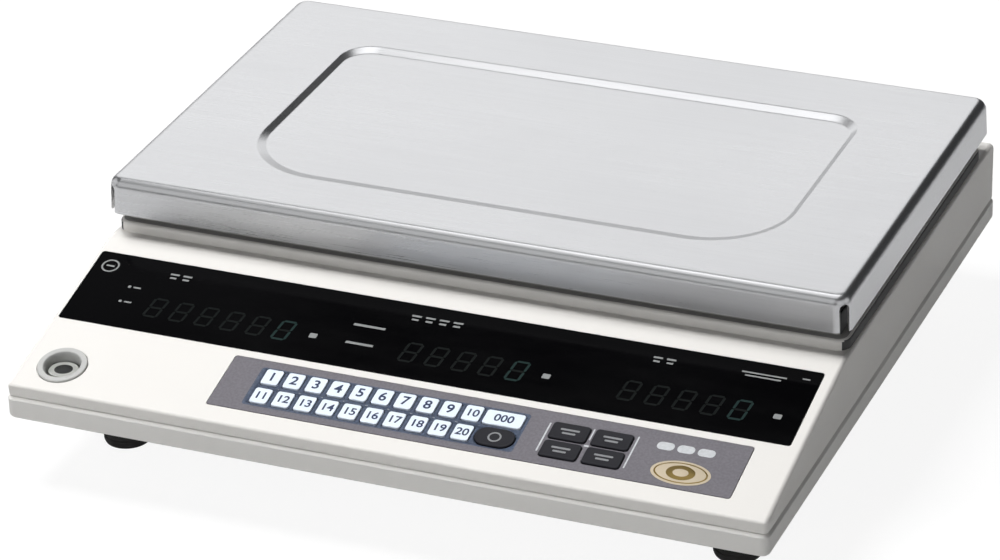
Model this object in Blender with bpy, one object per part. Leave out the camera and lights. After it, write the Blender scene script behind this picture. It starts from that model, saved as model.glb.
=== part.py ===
"""Counting scale: a low wedge-fronted housing with a stainless weighing pan.

Metres, +Z up. The origin is on the ground under the middle of the housing, X runs to the
user's right and Y to the rear. Run it with: blender --background --python part.py
"""
import math

import bmesh
import bpy
from mathutils import Matrix, Vector

GAP = 0.0003                # clearance left between pieces that touch

# Housing
CASE_W = 0.350              # width over the tray's rim
CASE_D = 0.327              # depth over the tray's rim
RIM_PROUD = 0.0008          # how far the tray's rim stands out past the cover
WALL = 0.003                # moulded wall
Z_LIP = 0.0322              # underside of the tray's outer edge
Z_PARTING = 0.0430          # joint between tray and cover
Z_FRONT = 0.0488            # lower edge of the sloping panel
Z_DECK = 0.0717             # flat shoulder around the plinth
Z_WELL = 0.0220             # underside of the tray's deep middle
Y_FRONT = -CASE_D / 2
Y_REAR = CASE_D / 2
Y_CREST = -0.0612           # upper edge of the sloping panel
EDGE_R = 0.0022             # rounding of the housing's outer edges
TRAY_CORNER = 0.0040
WELL_X = 0.156
WELL_INSET = 0.028          # tray's front and rear edges to the deep middle
WELL_CORNER = 0.012
WELL_LEAN = 0.003

# Plinth: the raised part of the cover under the pan
PLINTH_X = 0.1728
PLINTH_Y = (-0.0545, 0.1463)
PLINTH_TOP = 0.0880
PLINTH_CORNER = 0.0060
PLINTH_EDGE = 0.0015
SHOULDER_Z = 0.0766         # the plinth's outer wall ends here, and steps in
SHOULDER_IN = 0.0045

# Weighing pan and what carries it
PAN_X = 0.1750              # at the flange's lower edge
PAN_Y = (-0.0600, 0.1524)
PAN_TOP = 0.0996
PAN_FLANGE = 0.0167
PAN_LEAN = 0.0006           # how far the flange leans out
PAN_CORNER = 0.0075
FOLD_R = 0.0045
SHEET = 0.0012
PAN_MID_Y = (PAN_Y[0] + PAN_Y[1]) / 2
DISH_X = 0.1285
DISH_Y = (-0.0295, 0.1110)
DISH_R_FRONT = 0.040
DISH_R_BACK = 0.016
DISH_RAMP = 0.0070
DISH_DEPTH = 0.0018
FRAME_Z = (0.0905, 0.0935)
FRAME_X = 0.156
FRAME_HALF_Y = 0.088
PAD_X = 0.146
PAD_HALF_Y = 0.078
PAD_R = 0.006
PAD_EDGE = 0.0007
FRAME_CORNER = 0.012
FRAME_HOLE_R = 0.0155
FRAME_HOLE_PITCH = 0.050
FRAME_HOLE_ROW = 0.045

# Load cell: a beam held at its left end, carrying the frame's riser at its right end
CELL_HALF = (0.065, 0.015)
CELL_Z = (0.0313, 0.0533)
RISER_X = (0.036, 0.062)
RISER_HALF_Y = 0.013
RISER_ROOM = 0.004          # free space round the riser where it passes the plinth's top
FLEXURE_X = 0.014
FLEXURE_R = 0.0085
FLEXURE_SLOT = 0.005
SPACER_END = -0.033
STOP_X = 0.055
STOP_R = (0.0032, 0.0050)   # overload stop's shank and head
STOP_GAP = 0.0006           # how far the cell's free end may go down

# Sloping panel: lengths are measured up the slope from its lower edge
SLOPE_ANGLE = math.atan2(Z_DECK - Z_FRONT, Y_CREST - Y_FRONT)
WINDOW_X = (-0.1715, 0.1685)
WINDOW_T = (0.0470, 0.0938)
WINDOW_R = 0.0012
WINDOW_N = (-0.0014, 0.0002)
WINDOW_LEDGE = 0.004
OVERLAY_X = (-0.0828, 0.1546)
OVERLAY_T = (0.0102, 0.0425)
OVERLAY_R = 0.0010
OVERLAY_N = (-0.0009, 0.0002)
OVERLAY_LEDGE = 0.003
LEVEL_X = -0.1552
LEVEL_T = 0.0173
LEVEL_R = 0.0112            # flange of the level's ring
LEVEL_NECK_R = 0.0092
LEVEL_BORE_R = 0.0078
LEVEL_NECK_N = -0.0060
LEVEL_SEAT_N = -0.0009      # underside of the flange
LEVEL_TOP_N = 0.0009
VIAL_R = 0.0066
VIAL_H = 0.0046
VIAL_N = -0.0035            # middle of the vial

# Keys
KEY_TRAVEL = 0.0005
KEY_TOP = 0.0010            # height of a key's face over the panel
KEY_CLEAR = 0.0003          # side clearance of a key in its hole
KEY_EDGE = 0.0004
KEY_FLANGE = 0.0006         # how far a key's foot reaches under the panel
KEY_FOOT_N = -0.0023
DIGIT_COLUMNS = 10
DIGIT_PITCH = 0.01036
DIGIT_X0 = -0.0610
DIGIT_ROWS = (0.0322, 0.0200)
DIGIT_SIZE = (0.0080, 0.0094)
CLEAR_KEY = (0.0466, 0.0320, 0.0176, 0.0088)
ROUND_KEY = (0.0468, 0.0204, 0.0178, 0.0112)
FUNCTION_X = (0.0765, 0.0956)
FUNCTION_T = (0.0312, 0.0198)
FUNCTION_SIZE = (0.0168, 0.0100)
DIGIT_CORNER = 0.0012
CLEAR_CORNER = 0.0014
ROUND_CORNER = 0.0055
FUNCTION_CORNER = 0.0016

# Displays behind the window
DISPLAYS = {
    "display_weight": (-0.152, -0.058),
    "display_unit_weight": (-0.026, 0.050),
    "display_count": (0.074, 0.152),
}
DISPLAY_T = (0.0520, 0.0780)
DISPLAY_N = (-0.0118, -0.0021)
DISPLAY_BOARD_X = 0.160
DISPLAY_BOARD_T = (0.0480, 0.0810)
BOARD = 0.0016              # thickness of every circuit board

# Feet
FOOT_X = 0.144
FOOT_Y = 0.1118
FOOT_R = 0.0107
FOOT_H = 0.0090
STUD_R = 0.0040
STUD_TOP = 0.0300
STUD_FOOT = 0.0050          # depth of the stud's socket in the pad, from the ground
WHEEL_R = 0.0090
WHEEL_H = 0.0035
WHEEL_EDGE = 0.0005
BORE_R = 0.0044
BOSS_R = 0.0080
BOSS_TOP = 0.0372
BORE_ROOF = 0.0012

# Main board and transformer
MAIN_BOARD_X = (-0.140, -0.020)
MAIN_BOARD_Y = (-0.100, -0.030)
MAIN_BOARD_Z = 0.0330
POST_INSET = 0.005
POST_R = 0.0028
CORE_X = (0.088, 0.136)
CORE_Y = (0.045, 0.085)
CORE_H = 0.034
COIL_PROUD = 0.009
COIL_Z = (0.006, 0.028)

# Rear panel: half sizes across and up, at the inlet and at the switch
INLET_X = 0.105
SWITCH_X = 0.062
REAR_Z = 0.0565
INLET_FLANGE = (0.0150, 0.0112)
INLET_BODY = (0.0134, 0.0097)
INLET_SOCKET = (0.0120, 0.0080)
INLET_DEPTH = 0.020
SOCKET_DEPTH = 0.016
PIN_SIZE = (0.002, 0.004)
PIN_PLACES = ((-0.007, -0.002), (0.0, 0.002), (0.007, -0.002))
PIN_TIP = 0.0055
SWITCH_FLANGE = (0.0112, 0.0082)
SWITCH_BODY = (0.0094, 0.0064)
SWITCH_WELL = (0.0080, 0.0052)
SWITCH_DEPTH = 0.014
ROCKER_WELL = 0.008
ROCKER_HALF_X = 0.0076
ROCKER_PIVOT = 0.0035       # below the rear wall's face
SWITCH_TILT = math.radians(8)
HOLE_ROOM = 0.0004          # from a body to its hole in the rear wall

CLEARANCE_CUT = 0.02        # how far cutters run past the surface that they open
OVERLAP = 0.0001            # how far joined shapes reach into each other


# ---------------------------------------------------------------- mesh helpers

def clear_scene():
    for obj in list(bpy.data.objects):
        bpy.data.objects.remove(obj, do_unlink=True)


def material(name, colour, roughness, metallic=0.0):
    mat = bpy.data.materials.get(name) or bpy.data.materials.new(name)
    mat.use_nodes = True
    shader = mat.node_tree.nodes["Principled BSDF"]
    shader.inputs["Base Color"].default_value = (*colour, 1.0)
    shader.inputs["Roughness"].default_value = roughness
    shader.inputs["Metallic"].default_value = metallic
    return mat


def make_object(name, bm, mat, matrix=None, smooth=False):
    bmesh.ops.recalc_face_normals(bm, faces=bm.faces)
    mesh = bpy.data.meshes.new(name)
    bm.to_mesh(mesh)
    bm.free()
    if smooth:
        mesh.shade_smooth()
        mesh.set_sharp_from_angle(angle=math.radians(35))
    obj = bpy.data.objects.new(name, mesh)
    bpy.context.scene.collection.objects.link(obj)
    if mat:
        mesh.materials.append(mat)
    if matrix:
        obj.matrix_world = matrix
    return obj


def loft(name, loops, mat=None, matrix=None, smooth=False):
    """A closed solid through loops of equal length, its first and last loop filled."""
    bm = bmesh.new()
    rings = [[bm.verts.new(p) for p in loop] for loop in loops]
    count = len(rings[0])
    for low, high in zip(rings, rings[1:]):
        for i in range(count):
            j = (i + 1) % count
            bm.faces.new((low[i], low[j], high[j], high[i]))
    bm.faces.new(list(reversed(rings[0])))
    bm.faces.new(rings[-1])
    return make_object(name, bm, mat, matrix, smooth)


def rounded_loop(x, y, z, radii, steps=3):
    """A rectangle with round corners; radii go front-left, front-right, back-right, back-left."""
    corners = ((x[0], y[0], 180), (x[1], y[0], 270), (x[1], y[1], 0), (x[0], y[1], 90))
    inward = ((1, 1), (-1, 1), (-1, -1), (1, -1))
    points = []
    for (cx, cy, start), (sx, sy), radius in zip(corners, inward, radii):
        for step in range(steps + 1):
            angle = math.radians(start + 90 * step / steps)
            px = cx + sx * radius + radius * math.cos(angle)
            py = cy + sy * radius + radius * math.sin(angle)
            points.append((px, py, z))
    return points


def inset_loop(x, y, z, radius, inset, steps=3):
    inner = max(radius - inset, 0.0001)
    return rounded_loop((x[0] + inset, x[1] - inset), (y[0] + inset, y[1] - inset), z, (inner,) * 4, steps)


def slab(name, x, y, z, mat=None, radius=0.001, edge=0.0, steps=2, matrix=None):
    """A block with round upright corners and, if edge is set, chamfered top and bottom edges."""
    loops = [inset_loop(x, y, z[0], radius, 0.0, steps), inset_loop(x, y, z[1], radius, 0.0, steps)]
    if edge:
        loops = [
            inset_loop(x, y, z[0], radius, edge, steps),
            inset_loop(x, y, z[0] + edge, radius, 0.0, steps),
            inset_loop(x, y, z[1] - edge, radius, 0.0, steps),
            inset_loop(x, y, z[1], radius, edge, steps),
        ]
    return loft(name, loops, mat, matrix)


def box(name, x, y, z, mat=None, matrix=None):
    loops = [[(x[0], y[0], h), (x[1], y[0], h), (x[1], y[1], h), (x[0], y[1], h)] for h in z]
    return loft(name, loops, mat, matrix)


def block(name, half, y, mat=None, matrix=None):
    """A box for the rear wall: half sizes across and up, and its reach in Y."""
    return box(name, (-half[0], half[0]), y, (-half[1], half[1]), mat, matrix)


def circle(radius, z, sides):
    turn = 2 * math.pi / sides
    return [(radius * math.cos(i * turn), radius * math.sin(i * turn), z) for i in range(sides)]


def turned(name, profile, sides, mat=None, matrix=None):
    """A solid of revolution about Z from (radius, height) points listed bottom to top."""
    return loft(name, [circle(r, z, sides) for r, z in profile], mat, matrix, smooth=True)


def prism_x(name, outline, x, mat=None, bevel=0.0):
    """A (y, z) outline run along X, its outline given counter-clockwise seen from +X."""
    loops = [[(station, p[0], p[1]) for p in outline] for station in x]
    obj = loft(name, loops, mat)
    if bevel:
        mod = obj.modifiers.new("edges", "BEVEL")
        mod.width = bevel
        mod.segments = 2
        mod.limit_method = "ANGLE"
        mod.angle_limit = math.radians(8)
    return obj


def combine(target, tool, operation):
    tool.hide_render = True
    tool.display_type = "WIRE"
    mod = target.modifiers.new(tool.name, "BOOLEAN")
    mod.operation = operation
    mod.solver = "EXACT"
    mod.object = tool


def cut(target, *tools):
    for tool in tools:
        combine(target, tool, "DIFFERENCE")


def join(target, *tools):
    for tool in tools:
        combine(target, tool, "UNION")


def upright(x, y, z=0.0):
    return Matrix.Translation((x, y, z))


def on_slope(x, t, n=0.0):
    """A frame on the sloping panel: X right, Y up the slope, Z out of it."""
    start = Matrix.Translation((0.0, Y_FRONT + RIM_PROUD, Z_FRONT))
    return start @ Matrix.Rotation(SLOPE_ANGLE, 4, "X") @ Matrix.Translation((x, t, n))


def span(middle, size):
    return (middle - size / 2, middle + size / 2)


def grow(interval, amount):
    return (interval[0] - amount, interval[1] + amount)


# ---------------------------------------------------------------- materials

def materials():
    return {
        "cover": material("cover_white", (0.86, 0.84, 0.80), 0.45),
        "tray": material("tray_white", (0.74, 0.73, 0.70), 0.50),
        "steel": material("stainless_steel", (0.72, 0.73, 0.75), 0.28, 1.0),
        "cast": material("cast_aluminium", (0.60, 0.61, 0.62), 0.45, 1.0),
        "zinc": material("zinc_plated_steel", (0.66, 0.66, 0.64), 0.35, 1.0),
        "rubber": material("black_rubber", (0.02, 0.02, 0.02), 0.80),
        "window": material("window_acrylic", (0.01, 0.01, 0.012), 0.12),
        "display": material("display_glass", (0.03, 0.05, 0.05), 0.20),
        "board": material("circuit_board", (0.05, 0.22, 0.11), 0.50),
        "overlay": material("overlay_grey", (0.22, 0.21, 0.24), 0.45),
        "light_key": material("light_key", (0.72, 0.78, 0.86), 0.40),
        "dark_key": material("dark_key", (0.04, 0.04, 0.05), 0.40),
        "bezel": material("level_bezel", (0.70, 0.69, 0.66), 0.40),
        "vial": material("level_vial", (0.80, 0.84, 0.70), 0.10),
        "iron": material("transformer_core", (0.20, 0.18, 0.17), 0.55, 0.6),
        "black": material("black_plastic", (0.03, 0.03, 0.03), 0.40),
    }


# ---------------------------------------------------------------- housing

def cover_outline(inset, bottom):
    """The cover's side outline, moved in by inset, counter-clockwise seen from +X."""
    front = Y_FRONT + RIM_PROUD + inset
    rear = Y_REAR - RIM_PROUD - inset
    drop = inset * math.tan(SLOPE_ANGLE / 2)
    rise = inset * math.tan((math.pi / 2 - SLOPE_ANGLE) / 2)
    return [
        (front, bottom),
        (rear, bottom),
        (rear, Z_DECK - inset),
        (Y_CREST + drop, Z_DECK - inset),
        (front, Z_FRONT - rise),
    ]


def upper_cover(mats):
    half = CASE_W / 2 - RIM_PROUD
    outline = cover_outline(0.0, Z_PARTING + GAP / 2)
    cover = prism_x("upper_cover", outline, (-half, half), mats["cover"], EDGE_R)
    join(cover, loft("plinth", [
        plinth_loop(Z_DECK - WALL, 0.0),
        plinth_loop(SHOULDER_Z - PLINTH_EDGE, 0.0),
        plinth_loop(SHOULDER_Z, PLINTH_EDGE),
        plinth_loop(SHOULDER_Z + GAP, SHOULDER_IN),
        plinth_loop(PLINTH_TOP - PLINTH_EDGE, SHOULDER_IN),
        plinth_loop(PLINTH_TOP, SHOULDER_IN + PLINTH_EDGE),
    ]))
    inside = (-half + WALL, half - WALL)
    cut(cover, prism_x("cover_inside", cover_outline(WALL, Z_PARTING - CLEARANCE_CUT), inside))
    cut(cover, loft("plinth_inside", [
        plinth_loop(Z_DECK - 2 * WALL, WALL),
        plinth_loop(SHOULDER_Z - WALL, WALL),
        plinth_loop(SHOULDER_Z - WALL + GAP, WALL + SHOULDER_IN),
        plinth_loop(PLINTH_TOP - WALL, WALL + SHOULDER_IN),
    ]))
    riser_y = grow(span(PAN_MID_Y, 2 * RISER_HALF_Y), RISER_ROOM)
    riser_z = (PLINTH_TOP - CLEARANCE_CUT / 2, PLINTH_TOP + CLEARANCE_CUT)
    cut(cover, slab("riser_hole", grow(RISER_X, RISER_ROOM), riser_y, riser_z, radius=0.003))
    cut_panel(cover, "window", WINDOW_X, WINDOW_T, WINDOW_N[0], WINDOW_R, WINDOW_LEDGE)
    cut_panel(cover, "overlay", OVERLAY_X, OVERLAY_T, OVERLAY_N[0], OVERLAY_R, OVERLAY_LEDGE)
    cut_level(cover)
    rear = (Y_REAR - CLEARANCE_CUT, Y_REAR + CLEARANCE_CUT)
    for x, half_size in ((INLET_X, INLET_BODY), (SWITCH_X, SWITCH_BODY)):
        room = [half_length + HOLE_ROOM for half_length in half_size]
        cut(cover, block(f"rear_hole_{x}", room, rear, matrix=upright(x, 0.0, REAR_Z)))


def plinth_loop(z, inset):
    return inset_loop((-PLINTH_X, PLINTH_X), PLINTH_Y, z, PLINTH_CORNER, inset)


def cut_level(cover):
    """A stepped round hole for the level's ring."""
    place = on_slope(LEVEL_X, LEVEL_T)
    neck = LEVEL_NECK_R + GAP
    cut(cover, turned("level_hole", [(neck, -CLEARANCE_CUT), (neck, CLEARANCE_CUT)], 32, matrix=place))
    seat = LEVEL_R + GAP
    cut(cover, turned("level_seat", [(seat, LEVEL_SEAT_N - GAP), (seat, CLEARANCE_CUT)], 32, matrix=place))


def cut_panel(cover, name, x, t, floor, radius, ledge):
    """A shallow recess for a panel, with an opening inside it that leaves a ledge all round."""
    recess = slab(name + "_recess", grow(x, GAP), grow(t, GAP), (floor - GAP, CLEARANCE_CUT),
                  radius=radius, matrix=on_slope(0.0, 0.0))
    opening = slab(name + "_opening", grow(x, -ledge), grow(t, -ledge), (-CLEARANCE_CUT / 2, CLEARANCE_CUT),
                   radius=radius, matrix=on_slope(0.0, 0.0))
    cut(cover, recess, opening)


def base_tray(mats):
    top = Z_PARTING - GAP / 2
    tray = loft("base_tray", [
        tray_loop(Z_LIP, 0.0020),
        tray_loop(Z_LIP + 0.0012, 0.0012),
        tray_loop(top - 0.0010, 0.0),
        tray_loop(top, 0.0006),
    ], mats["tray"])
    join(tray, loft("well", [well_loop(Z_WELL, WELL_LEAN), well_loop(Z_LIP + WALL / 2, 0.0)]))
    cut(tray, loft("tray_inside", [
        tray_loop(Z_LIP + WALL, WALL),
        tray_loop(Z_PARTING + CLEARANCE_CUT, WALL),
    ]))
    cut(tray, loft("well_inside", [
        well_loop(Z_WELL + WALL, WALL + WELL_LEAN * 2 / 3),
        well_loop(Z_LIP + 2 * WALL, WALL),
    ]))
    floor = Z_WELL + WALL / 2
    for index, (fx, fy) in enumerate(foot_places()):
        place = upright(fx, fy)
        join(tray, turned(f"boss_{index}", [(BOSS_R, floor), (BOSS_R, BOSS_TOP)], 20, matrix=place))
        cut(tray, turned(f"bore_{index}", [(BORE_R, 0.0), (BORE_R, BOSS_TOP - BORE_ROOF)], 20, matrix=place))
    for index, (px, py) in enumerate(board_posts()):
        profile = [(POST_R, floor), (POST_R, MAIN_BOARD_Z - GAP)]
        join(tray, turned(f"post_{index}", profile, 10, matrix=upright(px, py)))


def tray_loop(z, inset):
    return inset_loop((-CASE_W / 2, CASE_W / 2), (Y_FRONT, Y_REAR), z, TRAY_CORNER, inset)


def well_loop(z, inset):
    well_y = (Y_FRONT + WELL_INSET, Y_REAR - WELL_INSET)
    return inset_loop((-WELL_X, WELL_X), well_y, z, WELL_CORNER, inset)


def foot_places():
    return [(x, y) for y in (-FOOT_Y, FOOT_Y) for x in (-FOOT_X, FOOT_X)]


def board_posts():
    """Places of the posts under the main board's corners."""
    return [(x, y) for x in grow(MAIN_BOARD_X, -POST_INSET) for y in grow(MAIN_BOARD_Y, -POST_INSET)]


# ---------------------------------------------------------------- weighing platform

def pan_loops():
    """Loops over the pan's top and down its leaning flange, then back up inside it."""
    bottom = PAN_TOP - PAN_FLANGE
    under = PAN_TOP - SHEET
    outside = [dish_loop(DISH_RAMP, PAN_TOP - DISH_DEPTH), dish_loop(0.0, PAN_TOP)]
    outside += fold_loops(FOLD_R, 0.0, PAN_TOP, 4)
    outside.append(pan_loop(0.0, bottom))
    inside = [pan_loop(SHEET, bottom)] + list(reversed(fold_loops(FOLD_R - SHEET, SHEET, under, 2)))
    inside += [dish_loop(0.0, under), dish_loop(DISH_RAMP, under - DISH_DEPTH)]
    return outside + inside


def fold_loops(radius, inset, top, steps):
    """Loops round the fold, from its upper end to where the flange starts."""
    loops = []
    for step in range(steps + 1):
        angle = math.radians(90 * step / steps)
        inward = PAN_LEAN + inset + radius * (1 - math.sin(angle))
        loops.append(pan_loop(inward, top - radius * (1 - math.cos(angle))))
    return loops


def pan_loop(inset, z):
    return inset_loop((-PAN_X, PAN_X), PAN_Y, z, PAN_CORNER, inset, steps=5)


def dish_loop(inset, z):
    front = DISH_R_FRONT - inset
    back = DISH_R_BACK - inset
    x = (-DISH_X + inset, DISH_X - inset)
    y = (DISH_Y[0] + inset, DISH_Y[1] - inset)
    return rounded_loop(x, y, z, (front, front, back, back), steps=5)


def weighing_platform(mats):
    loft("weighing_pan", pan_loops(), mats["steel"])
    frame_y = span(PAN_MID_Y, 2 * FRAME_HALF_Y)
    frame = slab("pan_support_frame", (-FRAME_X, FRAME_X), frame_y, FRAME_Z, mats["cast"],
                 radius=FRAME_CORNER, edge=0.0006)
    through = [(FRAME_HOLE_R, z) for z in grow(FRAME_Z, CLEARANCE_CUT)]
    for column in (-2, -1, 1, 2):
        for row in (-1, 1):
            place = upright(column * FRAME_HOLE_PITCH, PAN_MID_Y + row * FRAME_HOLE_ROW)
            cut(frame, turned(f"frame_hole_{column}_{row}", through, 20, matrix=place))
    pad_top = PAN_TOP - SHEET - GAP
    profile = [(PAD_R, FRAME_Z[1] + GAP), (PAD_R, pad_top - PAD_EDGE), (PAD_R - PAD_EDGE, pad_top)]
    for index, (sx, sy) in enumerate(((-1, -1), (1, -1), (-1, 1), (1, 1)), start=1):
        place = upright(sx * PAD_X, PAN_MID_Y + sy * PAD_HALF_Y)
        turned(f"pan_pad_{index}", profile, 16, mats["rubber"], place)
    slab("load_cell_riser", RISER_X, span(PAN_MID_Y, 2 * RISER_HALF_Y), (CELL_Z[1] + GAP, FRAME_Z[0] - GAP),
         mats["cast"], radius=0.003)


def load_cell(mats):
    half_x, half_y = CELL_HALF
    cell_y = span(PAN_MID_Y, 2 * half_y)
    cell = slab("load_cell", (-half_x, half_x), cell_y, CELL_Z, mats["cast"])
    middle = sum(CELL_Z) / 2
    round_hole = [(FLEXURE_R, -2 * half_y), (FLEXURE_R, 2 * half_y)]
    across = Matrix.Rotation(math.pi / 2, 4, "X")
    for side in (-1, 1):
        place = upright(side * FLEXURE_X, PAN_MID_Y, middle) @ across
        cut(cell, turned(f"flexure_{side}", round_hole, 20, matrix=place))
    slot_y = grow(cell_y, half_y)
    cut(cell, box("flexure_slot", (-FLEXURE_X, FLEXURE_X), slot_y, span(middle, FLEXURE_SLOT)))
    floor = Z_WELL + WALL + GAP
    slab("load_cell_spacer", (-half_x, SPACER_END), cell_y, (floor, CELL_Z[0] - GAP), mats["cast"])
    shank, head = STOP_R
    top = CELL_Z[0] - STOP_GAP
    stop = [(shank, floor), (shank, top - 0.0006), (head, top - 0.0006), (head, top)]
    turned("overload_stop_screw", stop, 12, mats["zinc"], upright(STOP_X, PAN_MID_Y))


# ---------------------------------------------------------------- sloping panel

def display_window(mats):
    slab("display_window", WINDOW_X, WINDOW_T, WINDOW_N, mats["window"], radius=WINDOW_R, edge=0.0002,
         matrix=on_slope(0.0, 0.0))


def displays(mats):
    for name, x in DISPLAYS.items():
        slab(name, x, DISPLAY_T, DISPLAY_N, mats["display"], edge=0.0003, matrix=on_slope(0.0, 0.0))
    board_n = (DISPLAY_N[0] - GAP - BOARD, DISPLAY_N[0] - GAP)
    slab("display_board", (-DISPLAY_BOARD_X, DISPLAY_BOARD_X), DISPLAY_BOARD_T, board_n, mats["board"],
         matrix=on_slope(0.0, 0.0))


def key_outline(size, radius, grow_by, height):
    x = (-size[0] / 2 - grow_by, size[0] / 2 + grow_by)
    y = (-size[1] / 2 - grow_by, size[1] / 2 + grow_by)
    corner = max(radius + grow_by, 0.0002)
    return rounded_loop(x, y, height, (corner,) * 4, steps=3 if radius < 0.003 else 5)


def key_places():
    """Every key's name, centre on the slope, size, corner radius and material key."""
    places = []
    for row, t in enumerate(DIGIT_ROWS):
        for column in range(DIGIT_COLUMNS):
            x = DIGIT_X0 + column * DIGIT_PITCH
            places.append((f"number_key_{row + 1}_{column + 1}", x, t, DIGIT_SIZE, DIGIT_CORNER, "light_key"))
    places.append(("clear_key", *CLEAR_KEY[:2], CLEAR_KEY[2:], CLEAR_CORNER, "light_key"))
    places.append(("round_key", *ROUND_KEY[:2], ROUND_KEY[2:], ROUND_CORNER, "dark_key"))
    for row, t in enumerate(FUNCTION_T):
        for column, x in enumerate(FUNCTION_X):
            name = f"function_key_{row + 1}_{column + 1}"
            places.append((name, x, t, FUNCTION_SIZE, FUNCTION_CORNER, "dark_key"))
    return places


def keypad(mats):
    overlay = slab("keypad_overlay", OVERLAY_X, OVERLAY_T, OVERLAY_N, mats["overlay"], radius=OVERLAY_R,
                   matrix=on_slope(0.0, 0.0))
    flange_top = OVERLAY_N[0] - GAP
    for name, x, t, size, radius, slot in key_places():
        place = on_slope(x, t)
        hole = [key_outline(size, radius, KEY_CLEAR, height) for height in (-CLEARANCE_CUT, CLEARANCE_CUT)]
        cut(overlay, loft(name + "_hole", hole, matrix=place))
        loops = [
            key_outline(size, radius, KEY_FLANGE, KEY_FOOT_N),
            key_outline(size, radius, KEY_FLANGE, flange_top),
            key_outline(size, radius, 0.0, flange_top),
            key_outline(size, radius, 0.0, KEY_TOP - KEY_EDGE),
            key_outline(size, radius, -KEY_EDGE, KEY_TOP),
        ]
        loft(name, loops, mats[slot], place)
    board_n = (-WALL - GAP - BOARD, -WALL - GAP)
    slab("keypad_board", grow(OVERLAY_X, -0.001), grow(OVERLAY_T, -0.001), board_n, mats["board"],
         matrix=on_slope(0.0, 0.0))


def bubble_level(mats):
    """A ring on the sloping panel with an upright vial inside it."""
    ring = [
        (LEVEL_BORE_R, LEVEL_NECK_N), (LEVEL_NECK_R, LEVEL_NECK_N), (LEVEL_NECK_R, LEVEL_SEAT_N),
        (LEVEL_R, LEVEL_SEAT_N), (LEVEL_R, LEVEL_TOP_N - 0.0004), (LEVEL_R - 0.0006, LEVEL_TOP_N),
        (LEVEL_BORE_R + 0.0010, LEVEL_TOP_N), (LEVEL_BORE_R + 0.0005, 0.0004), (LEVEL_BORE_R, -0.0010),
    ]
    place = on_slope(LEVEL_X, LEVEL_T)
    loft_ring("level_bezel", ring, 32, mats["bezel"], place)
    top = VIAL_H / 2
    vial = [(VIAL_R - 0.0004, -top), (VIAL_R, 0.0004 - top), (VIAL_R, top - 0.0008), (VIAL_R - 0.0008, top)]
    level = Matrix.Translation((0.0, 0.0, VIAL_N)) @ Matrix.Rotation(-SLOPE_ANGLE, 4, "X")
    turned("level_vial", vial, 32, mats["vial"], place @ level)


def loft_ring(name, profile, sides, mat, matrix):
    """A ring turned about Z from a closed (radius, height) outline."""
    bm = bmesh.new()
    rings = [[bm.verts.new(p) for p in circle(r, z, sides)] for r, z in profile]
    for low, high in zip(rings, rings[1:] + rings[:1]):
        for i in range(sides):
            j = (i + 1) % sides
            bm.faces.new((low[i], low[j], high[j], high[i]))
    return make_object(name, bm, mat, matrix, smooth=True)


# ---------------------------------------------------------------- feet

def feet(mats):
    socket = STUD_R + 2 * GAP
    pad = [
        (FOOT_R - 0.0012, 0.0), (FOOT_R - 0.0004, 0.0004), (FOOT_R, 0.0016), (FOOT_R, FOOT_H - 0.0015),
        (FOOT_R - 0.0012, FOOT_H), (socket, FOOT_H), (socket, STUD_FOOT),
    ]
    low = FOOT_H + GAP
    high = FOOT_H + WHEEL_H
    edge = WHEEL_R - WHEEL_EDGE
    stud = [
        (STUD_R, STUD_FOOT + GAP), (STUD_R, low), (edge, low), (WHEEL_R, low + WHEEL_EDGE),
        (WHEEL_R, high - WHEEL_EDGE), (edge, high), (STUD_R, high), (STUD_R, STUD_TOP - 0.001),
        (STUD_R - 0.001, STUD_TOP),
    ]
    for index, (x, y) in enumerate(foot_places(), start=1):
        turned(f"foot_pad_{index}", pad, 24, mats["rubber"], upright(x, y))
        turned(f"foot_stud_{index}", stud, 20, mats["zinc"], upright(x, y))


# ---------------------------------------------------------------- electrics

def main_board(mats):
    board = box("main_board", MAIN_BOARD_X, MAIN_BOARD_Y, (MAIN_BOARD_Z, MAIN_BOARD_Z + BOARD), mats["board"])
    top = MAIN_BOARD_Z + BOARD / 2
    parts = {
        "processor": ((-0.100, -0.072), (-0.075, -0.058), 0.0035),
        "heat_sink": ((-0.055, -0.030), (-0.050, -0.040), 0.0120),
        "capacitor": ((-0.132, -0.118), (-0.062, -0.048), 0.0130),
        "cell_connector": ((-0.090, -0.072), (-0.044, -0.037), 0.0080),
    }
    for name, (x, y, height) in parts.items():
        join(board, box(name, x, y, (top, top + height)))


def transformer(mats):
    floor = Z_WELL + WALL + GAP
    core = box("transformer", CORE_X, CORE_Y, (floor, floor + CORE_H), mats["iron"])
    coil_z = [floor + height for height in COIL_Z]
    join(core, slab("coil", grow(CORE_X, -0.004), grow(CORE_Y, COIL_PROUD), coil_z, radius=0.004))


def power_inlet(mats):
    """A three-pin mains inlet let into the rear wall, its flange outside."""
    wall = Y_REAR - RIM_PROUD
    place = upright(INLET_X, 0.0, REAR_Z)
    inlet = block("power_inlet", INLET_FLANGE, (wall + GAP, Y_REAR), mats["black"], place)
    join(inlet, block("inlet_body", INLET_BODY, (wall - INLET_DEPTH, Y_REAR - OVERLAP), matrix=place))
    socket_y = (wall - SOCKET_DEPTH, Y_REAR + CLEARANCE_CUT)
    cut(inlet, block("inlet_socket", INLET_SOCKET, socket_y, matrix=place))
    pin_y = (wall - SOCKET_DEPTH - 0.002, wall - PIN_TIP)
    for index, (px, pz) in enumerate(PIN_PLACES):
        pin = box(f"inlet_pin_{index}", span(px, PIN_SIZE[0]), pin_y, span(pz, PIN_SIZE[1]), matrix=place)
        join(inlet, pin)


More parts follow.
